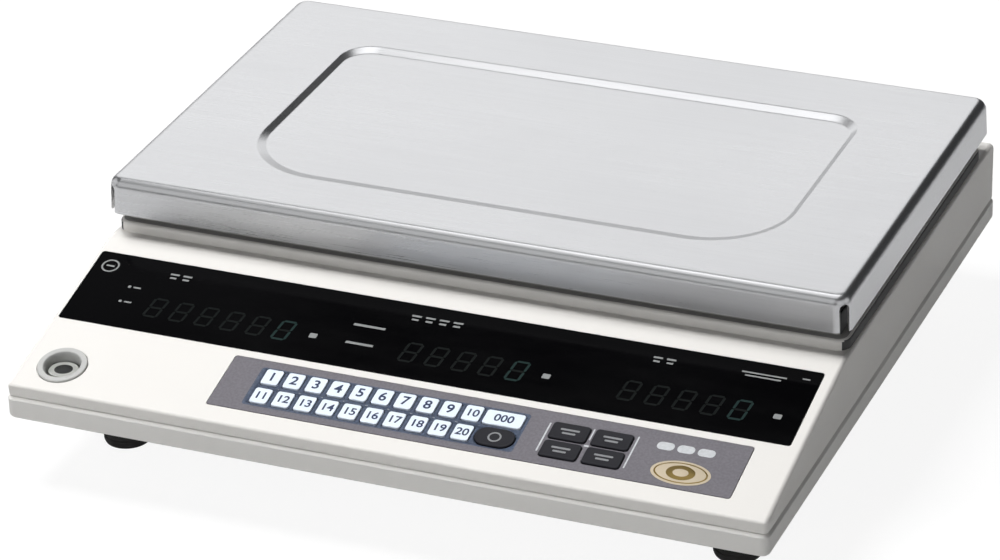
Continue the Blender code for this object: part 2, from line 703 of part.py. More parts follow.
def power_switch(mats):
    """A rocker in a frame that snaps into the rear wall; the rocker tilts about the X axis."""
    wall = Y_REAR - RIM_PROUD
    place = upright(SWITCH_X, 0.0, REAR_Z)
    frame = block("switch_frame", SWITCH_FLANGE, (wall + GAP, Y_REAR), mats["black"], place)
    join(frame, block("switch_body", SWITCH_BODY, (wall - SWITCH_DEPTH, Y_REAR - OVERLAP), matrix=place))
    well_y = (wall - ROCKER_WELL, Y_REAR + CLEARANCE_CUT)
    cut(frame, block("rocker_well", SWITCH_WELL, well_y, matrix=place))
    pivot = upright(SWITCH_X, wall - ROCKER_PIVOT, REAR_Z)
    outline = [(-0.0015, -0.0030), (0.0024, -0.0046), (0.0016, 0.0), (0.0024, 0.0046), (-0.0015, 0.0030)]
    loops = [[(x, p[0], p[1]) for p in outline] for x in (-ROCKER_HALF_X, ROCKER_HALF_X)]
    loft("power_rocker", loops, mats["black"], pivot @ Matrix.Rotation(-SWITCH_TILT, 4, "X"))


def main():
    clear_scene()
    mats = materials()
    upper_cover(mats)
    base_tray(mats)
    weighing_platform(mats)
    load_cell(mats)
    display_window(mats)
    displays(mats)
    keypad(mats)
    bubble_level(mats)
    feet(mats)
    main_board(mats)
    transformer(mats)
    power_inlet(mats)
    power_switch(mats)


main()
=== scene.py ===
"""Looks of the counting scale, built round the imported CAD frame. Metres, +Z up."""
import math

import bmesh
import bpy
from mathutils import Matrix, Vector


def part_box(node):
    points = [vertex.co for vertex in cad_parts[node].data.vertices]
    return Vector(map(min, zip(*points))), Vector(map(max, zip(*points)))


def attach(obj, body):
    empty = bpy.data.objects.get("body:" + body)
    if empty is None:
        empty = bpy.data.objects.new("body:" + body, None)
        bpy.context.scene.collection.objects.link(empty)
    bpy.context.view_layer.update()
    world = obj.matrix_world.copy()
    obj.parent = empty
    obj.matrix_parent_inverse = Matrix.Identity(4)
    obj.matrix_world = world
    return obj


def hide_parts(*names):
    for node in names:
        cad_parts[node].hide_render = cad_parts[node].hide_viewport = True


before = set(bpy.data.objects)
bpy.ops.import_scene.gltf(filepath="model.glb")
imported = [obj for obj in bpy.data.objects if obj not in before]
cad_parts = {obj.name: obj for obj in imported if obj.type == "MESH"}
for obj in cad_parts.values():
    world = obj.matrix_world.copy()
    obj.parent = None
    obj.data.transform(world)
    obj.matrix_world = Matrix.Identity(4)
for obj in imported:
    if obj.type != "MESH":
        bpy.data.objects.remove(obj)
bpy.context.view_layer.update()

# Boxes of the CAD nodes that the new pieces stand in for
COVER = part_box("upper_cover")
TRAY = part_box("base_tray")
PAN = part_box("weighing_pan")

GAP = 0.0003                    # clearance between pieces
WALL = 0.0030
PRINT = 0.00003                 # thickness of printed marks
FLOAT = 0.00001                 # how far a mark lies off what it is printed on

# Plinth under the pan: half its width, its reach front to back, and its stepped shoulder
PLINTH_X = 0.1728
PLINTH_Y = (-0.0545, 0.1463)
PLINTH_TOP = 0.0880
PLINTH_CORNER = 0.0060
PLINTH_EDGE = 0.0015
SHOULDER_Z = 0.0766             # the plinth's outer wall ends here, and steps in
SHOULDER_IN = 0.0045

# Pan: sheet steel, dished in the middle, folded down and leaning out all round
SHEET = 0.0012
FOLD_R = 0.0045
PAN_LEAN = 0.0006               # how far the flange's lower edge stands out past the fold
PAN_CORNER = 0.0075
PAN_STEPS = 16
DISH_X = 0.1285
DISH_Y = (-0.0295, 0.1110)
DISH_R_FRONT = 0.040
DISH_R_BACK = 0.016
DISH_RAMP = 0.0056              # length of the ramp at the back
RAMP_SIDE = 0.65                # share of that length at the sides
RAMP_FRONT = 1.4                # and at the front
RAMP_ROUND = 0.18               # share of the ramp that each rounded end takes
DISH_DEPTH = 0.0018
SEAM_WIDTH = 0.0046             # open seam where two folded flanges meet at a corner

# Housing outline, seen from the side
Z_FRONT = 0.0488
Z_DECK = 0.0717
Y_CREST = -0.0612
Y_FRONT = COVER[0].y
Y_REAR = COVER[1].y
HALF_COVER = COVER[1].x
SLOPE_ANGLE = math.atan2(Z_DECK - Z_FRONT, Y_CREST - Y_FRONT)
EDGE_R = 0.0020
FRONT_EDGE_R = 0.0014
CREST_R = 0.0024
BACK_EDGE_R = 0.0040
UNDERCUT = 0.0006               # the front wall leans in towards its foot
TRAY_CORNER = 0.0040
TRAY_CHAMFER = 0.0011
TRAY_FOOT_R = 0.0022
TRAY_LIP = 0.0322               # underside of the tray's outer edge
WELL_X = 0.156
WELL_INSET = 0.028
WELL_CORNER = 0.012
WELL_LEAN = 0.003
BOSS_R = 0.0080
BOSS_TOP = 0.0372
BORE_R = 0.0044
FOOT_COUNT = 4
STUD_R = 0.0040
THREAD_PITCH = 0.00125
KNURL = 0.0004                  # depth of the grooves round the thumb wheel
SCREW_X = 0.165                 # case screws in the tray's underside
SCREW_Y = 0.152

# Sloping panel, measured up the slope from its lower edge
WINDOW_X = (-0.1715, 0.1685)
WINDOW_T = (0.0470, 0.0938)
WINDOW_FLOOR = -0.0014
OVERLAY_X = (-0.0828, 0.1546)
OVERLAY_T = (0.0102, 0.0425)
OVERLAY_FLOOR = -0.0009
PANEL_PROUD = 0.0002
LEVEL_X = -0.1552
LEVEL_T = 0.0173
LEVEL_R = 0.0112
VIAL_R = 0.0066
VIAL_N = -0.0035
VIAL_HALF = 0.0023
LIQUID_TOP = 0.0012
TARGET_R = 0.0041               # dark disc in the liquid, which the bubble settles over
BUBBLE_R = 0.0023

# Keys: centres on the slope and sizes; a single key's four values are x, t, width and height
KEY_TOP = 0.0010
NUMBER_COLUMNS = 10
NUMBER_PITCH = 0.01036
NUMBER_X0 = -0.0610
NUMBER_ROWS = (0.0322, 0.0200)
NUMBER_SIZE = (0.0080, 0.0094)
CLEAR_KEY = (0.0466, 0.0320, 0.0176, 0.0088)
ROUND_KEY = (0.0468, 0.0204, 0.0178, 0.0112)
FUNCTION_X = (0.0765, 0.0956)
FUNCTION_T = (0.0312, 0.0198)
FUNCTION_SIZE = (0.0168, 0.0100)
NUMBER_FIELD_X = (-0.0680, 0.0570)
NUMBER_FIELD_T = (0.0138, 0.0382)
RING_AT = (-0.1637, 0.0848)
BADGE_AT = (0.1300, 0.0196)

# Seven-segment figures behind the window
FIGURE_WIDTH = 0.0062
FIGURE_HEIGHT = 0.0118
FIGURE_SLANT = 0.12
SEGMENT_WIDTH = 0.0012
FIGURE_PITCH = 0.0124
FIGURE_T = 0.0570

# Studio. The floor's paper: what it throws back onto the object, what the camera sees of it, its
# own glow to the camera and to mirrors. The room past it: what it lights, and how bright it looks
FLOOR_HALF = 3.0
BOUNCE = 0.50
SEEN = 0.12
LIFT = 0.90
MIRROR_LIFT = 0.12
AMBIENT = 0.035
BACKDROP = 0.90
CENTRE = (0.0, 0.0, 0.1)
CAMERA_AT = (0.65913, -1.58463, 0.95428)
CAMERA_WAY = (-0.343642, 0.81511, -0.466376)
CAMERA_ROLL = math.radians(-1.646)
CAMERA_LENS = 154.95

# The colour sockets of Blender's Mix node
MIX_FIRST = 6
MIX_SECOND = 7
MIX_RESULT = 2


# ---------------------------------------------------------------- node helpers

def node(tree, kind, inputs=None, **settings):
    """A shader node; an input given as a socket is linked, and a plain value is set."""
    made = tree.nodes.new(kind)
    for key, value in settings.items():
        setattr(made, key, value)
    for key, value in (inputs or {}).items():
        if isinstance(value, bpy.types.NodeSocket):
            tree.links.new(value, made.inputs[key])
        else:
            made.inputs[key].default_value = value
    return made


def calculate(tree, operation, *values):
    """The result of one maths node on sockets or plain numbers."""
    return node(tree, "ShaderNodeMath", dict(enumerate(values)), operation=operation).outputs[0]


def start_material(name):
    """A new material, with its tree, its shader and the object's coordinates."""
    mat = bpy.data.materials.new(name)
    mat.use_nodes = True
    tree = mat.node_tree
    shader = tree.nodes["Principled BSDF"]
    place = node(tree, "ShaderNodeTexCoord").outputs["Object"]
    return mat, tree, shader, place


def noise(tree, place, scale, detail=3.0, stretch=(1.0, 1.0, 1.0), rough=0.5):
    mapped = node(tree, "ShaderNodeMapping", {"Vector": place, "Scale": stretch}).outputs["Vector"]
    values = {"Vector": mapped, "Scale": scale, "Detail": detail, "Roughness": rough}
    return node(tree, "ShaderNodeTexNoise", values).outputs["Fac"]


def spread(tree, pattern, low, high, start=0.3, end=0.7):
    """Maps a pattern's middle range onto low to high."""
    values = {"Value": pattern, "From Min": start, "From Max": end, "To Min": low, "To Max": high}
    return node(tree, "ShaderNodeMapRange", values).outputs["Result"]


def colour_between(tree, shader, pattern, first, second, start=0.3, end=0.7):
    """Base colour that follows a pattern from the first colour to the second."""
    factor = spread(tree, pattern, 0.0, 1.0, start, end)
    mix = node(tree, "ShaderNodeMix", {"Factor": factor}, data_type="RGBA")
    mix.inputs[MIX_FIRST].default_value = (*first, 1.0)
    mix.inputs[MIX_SECOND].default_value = (*second, 1.0)
    tree.links.new(mix.outputs[MIX_RESULT], shader.inputs["Base Color"])


def rough_between(tree, shader, pattern, low, high):
    tree.links.new(spread(tree, pattern, low, high), shader.inputs["Roughness"])


def bump(tree, shader, height, strength, distance):
    made = node(tree, "ShaderNodeBump", {"Height": height, "Strength": strength, "Distance": distance})
    tree.links.new(made.outputs["Normal"], shader.inputs["Normal"])


def scaled(colour, factor):
    return tuple(min(channel * factor, 1.0) for channel in colour)


# ---------------------------------------------------------------- materials

def moulded(name, colour, roughness=0.45, grain=1400.0, depth=0.10, shift=0.03, specular=0.5):
    """Moulded or painted plastic: slight colour drift, satin grain, uneven gloss."""
    mat, tree, shader, place = start_material(name)
    drift = noise(tree, place, 9.0, 4.0)
    colour_between(tree, shader, drift, scaled(colour, 1.0 - shift), scaled(colour, 1.0 + shift))
    rough_between(tree, shader, noise(tree, place, 38.0, 5.0), roughness - 0.06, roughness + 0.06)
    shader.inputs["Specular IOR Level"].default_value = specular
    bump(tree, shader, noise(tree, place, grain, 2.0), depth, 0.0002)
    return mat


def brushed(name, colour, roughness=0.30, along=(1.0, 90.0, 90.0), depth=0.08):
    """Metal brushed in one direction, with long streaks and a fine hairline."""
    mat, tree, shader, place = start_material(name)
    shader.inputs["Metallic"].default_value = 1.0
    streaks = noise(tree, place, 9.0, 6.0, along, 0.65)
    hairline = noise(tree, place, 42.0, 3.0, along, 0.6)
    cloud = noise(tree, place, 6.0, 3.0)
    colour_between(tree, shader, streaks, scaled(colour, 0.96), colour)
    uneven = calculate(tree, "ADD", spread(tree, hairline, -0.03, 0.03), spread(tree, cloud, -0.02, 0.02))
    tree.links.new(calculate(tree, "ADD", uneven, roughness), shader.inputs["Roughness"])
    bump(tree, shader, hairline, depth, 0.00006)
    return mat


def cast_metal(name, colour, roughness=0.5):
    """Cast or sheet metal with a coarse, patchy skin."""
    mat, tree, shader, place = start_material(name)
    shader.inputs["Metallic"].default_value = 1.0
    colour_between(tree, shader, noise(tree, place, 30.0, 5.0), scaled(colour, 0.85), colour)
    rough_between(tree, shader, noise(tree, place, 120.0), roughness - 0.1, roughness + 0.1)
    bump(tree, shader, noise(tree, place, 500.0, 4.0), 0.25, 0.0002)
    return mat


def rubber(name):
    mat, tree, shader, place = start_material(name)
    dust = noise(tree, place, 60.0, 4.0)
    colour_between(tree, shader, dust, (0.012, 0.012, 0.012), (0.026, 0.025, 0.024))
    rough_between(tree, shader, noise(tree, place, 200.0), 0.62, 0.85)
    bump(tree, shader, noise(tree, place, 900.0, 3.0), 0.3, 0.0002)
    return mat


def window_black(name):
    """Smoked acrylic, polished, with the faint smears that wiping leaves."""
    mat, tree, shader, place = start_material(name)
    depth = noise(tree, place, 5.0, 2.0)
    colour_between(tree, shader, depth, (0.0010, 0.0010, 0.0013), (0.0018, 0.0018, 0.0022))
    smears = noise(tree, place, 14.0, 6.0, (1.0, 3.0, 3.0), 0.7)
    rough_between(tree, shader, smears, 0.07, 0.15)
    shader.inputs["Specular IOR Level"].default_value = 0.08
    bump(tree, shader, noise(tree, place, 20.0, 1.0), 0.02, 0.0005)
    return mat


def printed_film(name, colour, speckle=0.10):
    """Matt printed polyester film with a fine speckle."""
    mat, tree, shader, place = start_material(name)
    fine = noise(tree, place, 900.0, 2.0)
    darker, lighter = scaled(colour, 1.0 - speckle), scaled(colour, 1.0 + speckle)
    colour_between(tree, shader, fine, darker, lighter, 0.35, 0.65)
    rough_between(tree, shader, noise(tree, place, 60.0, 4.0), 0.40, 0.55)
    bump(tree, shader, noise(tree, place, 1800.0, 2.0), 0.15, 0.0001)
    return mat


def ink(name, colour, glow=0.0, specular=0.3):
    """Printing ink with fine wear; a glow makes it a lit segment."""
    mat, tree, shader, place = start_material(name)
    shader.inputs["Specular IOR Level"].default_value = specular
    colour_between(tree, shader, noise(tree, place, 700.0, 3.0), scaled(colour, 0.85), colour)
    shader.inputs["Roughness"].default_value = 0.5
    if glow:
        shader.inputs["Emission Color"].default_value = (*colour, 1.0)
        shader.inputs["Emission Strength"].default_value = glow
    return mat


def circuit_board(name):
    """Green lacquer with lighter tracks."""
    mat, tree, shader, place = start_material(name)
    cells = node(tree, "ShaderNodeTexVoronoi", {"Vector": place, "Scale": 260.0}, distance="CHEBYCHEV")
    tracks = cells.outputs["Distance"]
    colour_between(tree, shader, tracks, (0.020, 0.10, 0.045), (0.045, 0.20, 0.09), 0.30, 0.34)
    rough_between(tree, shader, noise(tree, place, 90.0), 0.35, 0.5)
    return mat


def vial_liquid(name, colour):
    """The liquid under the vial's glass, with its faint cloudiness."""
    mat, tree, shader, place = start_material(name)
    colour_between(tree, shader, noise(tree, place, 160.0, 2.0), scaled(colour, 0.88), colour)
    rough_between(tree, shader, noise(tree, place, 80.0), 0.10, 0.20)
    return mat


def clear_glass(name):
    """The vial's domed glass: nearly invisible but for its gloss."""
    mat, tree, shader, place = start_material(name)
    haze = noise(tree, place, 140.0, 3.0)
    colour_between(tree, shader, haze, (0.020, 0.024, 0.022), (0.034, 0.038, 0.036))
    rough_between(tree, shader, noise(tree, place, 90.0), 0.03, 0.08)
    shader.inputs["Alpha"].default_value = 0.16
    return mat


MATS = {
    "cover": moulded("cover_plastic", (0.79, 0.772, 0.742), 0.46, 1500.0, 0.08, 0.015),
    "tray": moulded("tray_plastic", (0.78, 0.768, 0.742), 0.50, 1500.0, 0.10, 0.02),
    # painted shade: the plinth's dark grey top and black sides under the pan stand in for the pan's shadow
    "under_pan_painted_shade": moulded("plinth_top_painted_shade", (0.30, 0.295, 0.285), 0.55, 1500.0, 0.10, 0.03),
    "plinth_side_painted_shade": moulded("plinth_side_painted_shade", (0.055, 0.055, 0.056), 0.60, 1500.0, 0.10, 0.05, 0.3),
    "pan": brushed("pan_steel", (0.70, 0.705, 0.72), 0.30),
    "frame": cast_metal("cast_aluminium", (0.60, 0.61, 0.62)),
    "machined": brushed("machined_aluminium", (0.66, 0.67, 0.68), 0.34, (90.0, 1.0, 90.0)),
    "zinc": brushed("zinc_plate", (0.62, 0.61, 0.58), 0.32, (60.0, 60.0, 4.0)),
    "rubber": rubber("foot_rubber"),
    "window": window_black("window_acrylic"),
    "overlay": printed_film("overlay_film", (0.155, 0.147, 0.165)),
    "light_key": moulded("light_key_film", (0.78, 0.86, 0.96), 0.42, 2200.0, 0.10, 0.03),
    "dark_key": moulded("dark_key_film", (0.013, 0.013, 0.017), 0.42, 2200.0, 0.12, 0.10, 0.25),
    "number_field": printed_film("number_field", (0.070, 0.090, 0.135), 0.25),
    "legend_dark": ink("legend_dark", (0.035, 0.050, 0.11)),
    "legend_light": ink("legend_light", (0.62, 0.64, 0.66)),
    "legend_grey": ink("legend_grey", (0.27, 0.275, 0.285)),
    "window_print": ink("window_print", (0.27, 0.28, 0.28)),
    "ghost": ink("ghost_segment", (0.0045, 0.0060, 0.0058), 0.0, 0.1),
    "lit": ink("lit_segment", (0.009, 0.019, 0.018), 0.5, 0.1),
    "bezel": moulded("level_bezel", (0.50, 0.50, 0.49), 0.38, 1800.0, 0.06, 0.02),
    "vial": vial_liquid("level_liquid", (0.80, 0.81, 0.76)),
    "vial_dark": vial_liquid("level_target", (0.008, 0.008, 0.008)),
    "vial_glass": clear_glass("level_glass"),
    "gold": brushed("badge_gold", (0.30, 0.215, 0.075), 0.42, (40.0, 4.0, 4.0)),
    "cream": moulded("badge_cream", (0.52, 0.44, 0.32), 0.40, 2000.0, 0.06, 0.05),
    "board": circuit_board("circuit_board"),
    "display": window_black("display_glass"),
    "iron": cast_metal("transformer_iron", (0.22, 0.20, 0.18), 0.6),
    "black": moulded("black_plastic", (0.022, 0.022, 0.023), 0.38, 1500.0, 0.10, 0.15),
}


# ---------------------------------------------------------------- mesh helpers

def finish_object(name, bm, mat, matrix=None, sharp=32.0):
    """Turns a mesh under construction into a shaded object."""
    bmesh.ops.remove_doubles(bm, verts=bm.verts, dist=1e-7)
    bmesh.ops.recalc_face_normals(bm, faces=bm.faces)
    mesh = bpy.data.meshes.new(name)
    bm.to_mesh(mesh)
    bm.free()
    obj = bpy.data.objects.new(name, mesh)
    bpy.context.scene.collection.objects.link(obj)
    if mat:
        mesh.materials.append(mat)
    if matrix:
        obj.matrix_world = matrix
    shade(obj, sharp)
    return obj


def shade(obj, sharp=32.0):
    obj.data.shade_smooth()
    obj.data.set_sharp_from_angle(angle=math.radians(sharp))


def weigh(obj):
    """Flat faces keep their own normals, so that narrow rounded edges catch the light."""
    mod = obj.modifiers.new("normals", "WEIGHTED_NORMAL")
    mod.keep_sharp = True
    return obj


def loft(name, loops, mat=None, matrix=None, sharp=32.0, closed=False):
    """A solid through loops of equal length: capped at both ends, or joined into a ring if closed."""
    bm = bmesh.new()
    rings = [[bm.verts.new(p) for p in loop] for loop in loops]
    count = len(rings[0])
    following = rings[1:] + rings[:1] if closed else rings[1:]
    for low, high in zip(rings, following):
        for i in range(count):
            j = (i + 1) % count
            bm.faces.new((low[i], low[j], high[j], high[i]))
    if not closed:
        bm.faces.new(list(reversed(rings[0])))
        bm.faces.new(rings[-1])
    return finish_object(name, bm, mat, matrix, sharp)


def rounded_loop(x, y, z, radii, steps=6):
    """A rectangle with round corners; radii go front-left, front-right, back-right, back-left."""
    corners = ((x[0], y[0], 180), (x[1], y[0], 270), (x[1], y[1], 0), (x[0], y[1], 90))
    inward = ((1, 1), (-1, 1), (-1, -1), (1, -1))
    points = []
    for (cx, cy, start), (sx, sy), radius in zip(corners, inward, radii):
        for step in range(steps + 1):
            angle = math.radians(start + 90 * step / steps)
            px = cx + sx * radius + radius * math.cos(angle)
            py = cy + sy * radius + radius * math.sin(angle)
            points.append((px, py, z))
    return points


def inset_loop(x, y, z, radius, inset, steps=6):
    inner = max(radius - inset, 0.00005)
    return rounded_loop((x[0] + inset, x[1] - inset), (y[0] + inset, y[1] - inset), z, (inner,) * 4, steps)


def quarter(radius, steps):
    """(inset, drop) pairs round an edge of that radius, from the top face down to the side."""
    pairs = []
    for step in range(steps + 1):
        angle = math.radians(90 * step / steps)
        pairs.append((radius * (1 - math.sin(angle)), radius * (1 - math.cos(angle))))
    return pairs


def chamfer(size):
    """(inset, drop) pairs across a chamfer with softened ends, from the top face down to the side."""
    soft = size * 0.3
    return [(size + soft, 0.0), (size, soft * 0.27), (soft * 0.27, size), (0.0, size + soft)]


def cushion(name, x, y, z, mat=None, corner=0.001, top=0.0004, steps=3, matrix=None):
    """A block with round upright corners and a round top edge."""
    loops = [inset_loop(x, y, z[0], corner, 0.0)]
    loops += [inset_loop(x, y, z[1] - drop, corner, inset) for inset, drop in reversed(quarter(top, steps))]
    return loft(name, loops, mat, matrix)


def circle(radius, z, sides):
    turn = 2 * math.pi / sides
    return [(radius * math.cos(i * turn), radius * math.sin(i * turn), z) for i in range(sides)]


def turned(name, profile, sides, mat=None, matrix=None, closed=False, sharp=32.0):
    return loft(name, [circle(r, z, sides) for r, z in profile], mat, matrix, sharp, closed)


def filleted(points, insets, radii, steps=5):
    """A convex outline given counter-clockwise, its edges moved in and its corners rounded."""
    count = len(points)
    corners = [Vector(p) for p in points]
    ways = [(corners[(i + 1) % count] - corners[i]).normalized() for i in range(count)]
    normals = [Vector((-w.y, w.x)) for w in ways]
    outline = []
    for i in range(count):
        way, next_way = ways[i - 1], ways[i]
        from_edge = corners[i] + normals[i - 1] * insets[i - 1]
        offset = normals[i] * insets[i] - normals[i - 1] * insets[i - 1]
        cross = way.cross(next_way)
        corner = from_edge + way * (offset.cross(next_way) / cross)
        turn = math.atan2(cross, way.dot(next_way))
        radius = radii[i]
        start = corner - way * radius * math.tan(turn / 2)
        centre = start + normals[i - 1] * radius
        first = math.atan2(-normals[i - 1].y, -normals[i - 1].x)
        for step in range(steps + 1):
            angle = first + turn * step / steps
            outline.append((centre.x + radius * math.cos(angle), centre.y + radius * math.sin(angle)))
    return outline


def apply_modifiers(obj):
    """Replaces the mesh by what its modifiers make of it."""
    graph = bpy.context.evaluated_depsgraph_get()
    mesh = bpy.data.meshes.new_from_object(obj.evaluated_get(graph))
    obj.modifiers.clear()
    old = obj.data
    obj.data = mesh
    bpy.data.meshes.remove(old)


def boolean(target, operation, *tools):
    """Adds or cuts away other objects, which are used up."""
    for tool in tools:
        mod = target.modifiers.new(tool.name, "BOOLEAN")
        mod.operation = operation
        mod.solver = "EXACT"
        mod.object = tool
    apply_modifiers(target)
    for tool in tools:
        bpy.data.objects.remove(tool, do_unlink=True)


def merged(name, objects):
    """One object holding the meshes of several, in world space."""
    bm = bmesh.new()
    slots = []
    for obj in objects:
        mesh = obj.data.copy()
        mesh.transform(obj.matrix_world)
        for material in mesh.materials:
            if material not in slots:
                slots.append(material)
        start = len(bm.faces)
        bm.from_mesh(mesh)
        bm.faces.ensure_lookup_table()
        for face in bm.faces[start:]:
            material = mesh.materials[face.material_index] if len(mesh.materials) else None
            face.material_index = slots.index(material) if material in slots else 0
        bpy.data.meshes.remove(mesh)
        bpy.data.objects.remove(obj, do_unlink=True)
    mesh = bpy.data.meshes.new(name)
    bm.to_mesh(mesh)
    bm.free()
    for material in slots:
        mesh.materials.append(material)
    made = bpy.data.objects.new(name, mesh)
    bpy.context.scene.collection.objects.link(made)
    shade(made)
    return made


def settle(obj, body, slot, *nodes):
    """Puts a piece on its body and hides the CAD nodes that it stands for; the finish given as slot is not
    used.
    """
    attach(obj, body)
    if nodes:
        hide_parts(*nodes)


def on_slope(x, t, n=0.0):
    """A frame on the sloping panel: X right, Y up the slope, Z out of it."""
    start = Matrix.Translation((0.0, Y_FRONT, Z_FRONT))
    return start @ Matrix.Rotation(SLOPE_ANGLE, 4, "X") @ Matrix.Translation((x, t, n))


SLOPE = on_slope(0.0, 0.0)


def grow(interval, amount):
    return (interval[0] - amount, interval[1] + amount)


def span(middle, size):
    return (middle - size / 2, middle + size / 2)


def printed(name, x, t, low, mat, corner):
    """A flat mark or field printed on the sloping panel."""
    return cushion(name, x, t, (low, low + PRINT), mat, corner=corner, top=PRINT / 3, steps=1, matrix=SLOPE)


def upright_over(node_name):
    """A frame on the ground under the middle of a CAD node."""
    low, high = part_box(node_name)
    return Matrix.Translation(((low.x + high.x) / 2, (low.y + high.y) / 2, 0.0))


# ---------------------------------------------------------------- housing

def cover_loops():
    """Side outlines of the cover from its left side to its right, drawn in to round the side edges."""
    foot_z = TRAY[1].z + GAP / 3
    outline = [(Y_FRONT + UNDERCUT, foot_z), (Y_REAR, foot_z), (Y_REAR, Z_DECK), (Y_CREST, Z_DECK),
               (Y_FRONT, Z_FRONT)]
    stations = [(-HALF_COVER + inset, drop) for inset, drop in reversed(quarter(EDGE_R, 5))]
    loops = []
    for x, inset in stations + [(-x, inset) for x, inset in reversed(stations)]:
        foot = min(inset, 0.0004)
        radii = [0.0004, 0.0004] + [max(r - inset, 0.0001) for r in (BACK_EDGE_R, CREST_R, FRONT_EDGE_R)]
        section = filleted(outline, [foot, inset, inset, inset, inset], radii)
        loops.append([(x, y, z) for y, z in section])
    return loops


def plinth_ring(z, inset):
    return inset_loop((-PLINTH_X, PLINTH_X), PLINTH_Y, z, PLINTH_CORNER, inset, 8)


def panel_cutters(name, x, t, floor, ledge):
    """A recess that a panel lies in, and the opening behind it, which leaves a ledge all round."""
    sizes = (("_recess", GAP, floor - GAP), ("_opening", -ledge, -0.01))
    return [cushion(name + part, grow(x, more), grow(t, more), (low, 0.02), corner=0.0014, matrix=SLOPE)
            for part, more, low in sizes]


def build_cover():
    cover = loft("housing_cover", cover_loops(), MATS["cover"])
    rounding = list(reversed(quarter(PLINTH_EDGE, 4)))
    rings = [plinth_ring(Z_DECK - WALL, 0.0)]
    rings += [plinth_ring(SHOULDER_Z - drop, inset) for inset, drop in rounding]
    rings += [plinth_ring(SHOULDER_Z + GAP, SHOULDER_IN)]
    rings += [plinth_ring(PLINTH_TOP - drop, SHOULDER_IN + inset) for inset, drop in rounding]
    boolean(cover, "UNION", loft("plinth", rings))
    inner = [(Y_FRONT + WALL, 0.02), (Y_REAR - WALL, 0.02), (Y_REAR - WALL, Z_DECK - WALL),
             (Y_CREST + 0.0003, Z_DECK - WALL), (Y_FRONT + WALL, Z_FRONT - WALL * 0.80)]
    hollow = loft("hollow", [[(x, y, z) for y, z in inner] for x in (-HALF_COVER + WALL, HALF_COVER - WALL)])
    plinth_hollow = loft("plinth_hollow", [
        plinth_ring(Z_DECK - 2 * WALL, WALL),
        plinth_ring(SHOULDER_Z - WALL, WALL),
        plinth_ring(SHOULDER_Z - WALL + GAP, WALL + SHOULDER_IN),
        plinth_ring(PLINTH_TOP - WALL, WALL + SHOULDER_IN),
    ])
    low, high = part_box("load_cell_riser")
    riser_hole = cushion("riser_hole", grow((low.x, high.x), 0.004), grow((low.y, high.y), 0.004),
                         (PLINTH_TOP - 0.01, PLINTH_TOP + 0.02), corner=0.003)
    boolean(cover, "DIFFERENCE", hollow, plinth_hollow, riser_hole)
    boolean(cover, "DIFFERENCE", *panel_cutters("window", WINDOW_X, WINDOW_T, WINDOW_FLOOR, 0.004))
    boolean(cover, "DIFFERENCE", *panel_cutters("overlay", OVERLAY_X, OVERLAY_T, OVERLAY_FLOOR, 0.003))
    level = on_slope(LEVEL_X, LEVEL_T)
    boolean(cover, "DIFFERENCE",
            turned("level_hole", [(0.0095, -0.02), (0.0095, 0.02)], 64, matrix=level),
            turned("level_seat", [(LEVEL_R + GAP, -0.0012), (LEVEL_R + GAP, 0.02)], 64, matrix=level))
    for node_name, lip in (("power_inlet", 0.0012), ("switch_frame", 0.0014)):
        low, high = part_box(node_name)
        hole = cushion(node_name + "_hole", grow((low.x, high.x), -lip), (Y_REAR - 0.02, Y_REAR + 0.02),
                       grow((low.z, high.z), -lip + 0.0002), corner=0.0006)
        boolean(cover, "DIFFERENCE", hole)
    shade(cover)
    # painted shade under the pan, on the plinth's top and sides
    paint_plinth(cover)
    weigh(cover)
    settle(cover, "housing", "cover", "upper_cover")


def paint_plinth(cover):
    """Paints shade under the pan: above its shoulder the plinth gets a darker grey, and its two sides under
    the pan get black, for the shadow that the pan casts there.
    """
    cover.data.materials.append(MATS["under_pan_painted_shade"])
    cover.data.materials.append(MATS["plinth_side_painted_shade"])
    inner, outer = PLINTH_X - SHOULDER_IN - GAP, PLINTH_X + GAP
    for face in cover.data.polygons:
        middle = face.center
        if middle.z > SHOULDER_Z:
            face.material_index = 1
        if middle.z > Z_DECK + PRINT and abs(face.normal.x) > 0.6 and inner < abs(middle.x) < outer:
            face.material_index = 2


def tray_ring(z, inset):
    return inset_loop((TRAY[0].x, TRAY[1].x), (TRAY[0].y, TRAY[1].y), z, TRAY_CORNER, inset, 8)


def well_ring(z, inset):
    well_y = (TRAY[0].y + WELL_INSET, TRAY[1].y - WELL_INSET)
    return inset_loop((-WELL_X, WELL_X), well_y, z, WELL_CORNER, inset, 8)


def build_tray():
    top, low = TRAY[1].z, TRAY[0].z
    rings = [tray_ring(TRAY_LIP + drop, inset) for inset, drop in quarter(TRAY_FOOT_R, 5)]
    rings += [tray_ring(top - drop, inset) for inset, drop in reversed(chamfer(TRAY_CHAMFER))]
    tray = loft("housing_tray", rings, MATS["tray"])
    well = [well_ring(low + drop, WELL_LEAN + inset) for inset, drop in quarter(0.0012, 4)]
    well.append(well_ring(TRAY_LIP + WALL / 2, 0.0))
    boolean(tray, "UNION", loft("well", well))
    tray_hollow = [tray_ring(TRAY_LIP + WALL, WALL), tray_ring(top + 0.02, WALL)]
    well_hollow = [well_ring(low + WALL, WALL + WELL_LEAN * 2 / 3), well_ring(TRAY_LIP + 2 * WALL, WALL)]
    boolean(tray, "DIFFERENCE", loft("tray_hollow", tray_hollow), loft("well_hollow", well_hollow))
    for index in range(1, FOOT_COUNT + 1):
        place = upright_over(f"foot_stud_{index}")
        boss = turned("boss", [(BOSS_R, low + WALL / 2), (BOSS_R, BOSS_TOP)], 40, matrix=place)
        boolean(tray, "UNION", boss)
        bore = turned("bore", [(BORE_R, 0.0), (BORE_R, BOSS_TOP - 0.0012)], 32, matrix=place)
        boolean(tray, "DIFFERENCE", bore)
    shade(tray)
    weigh(tray)
    settle(tray, "housing", "tray", "base_tray")


# ---------------------------------------------------------------- pan

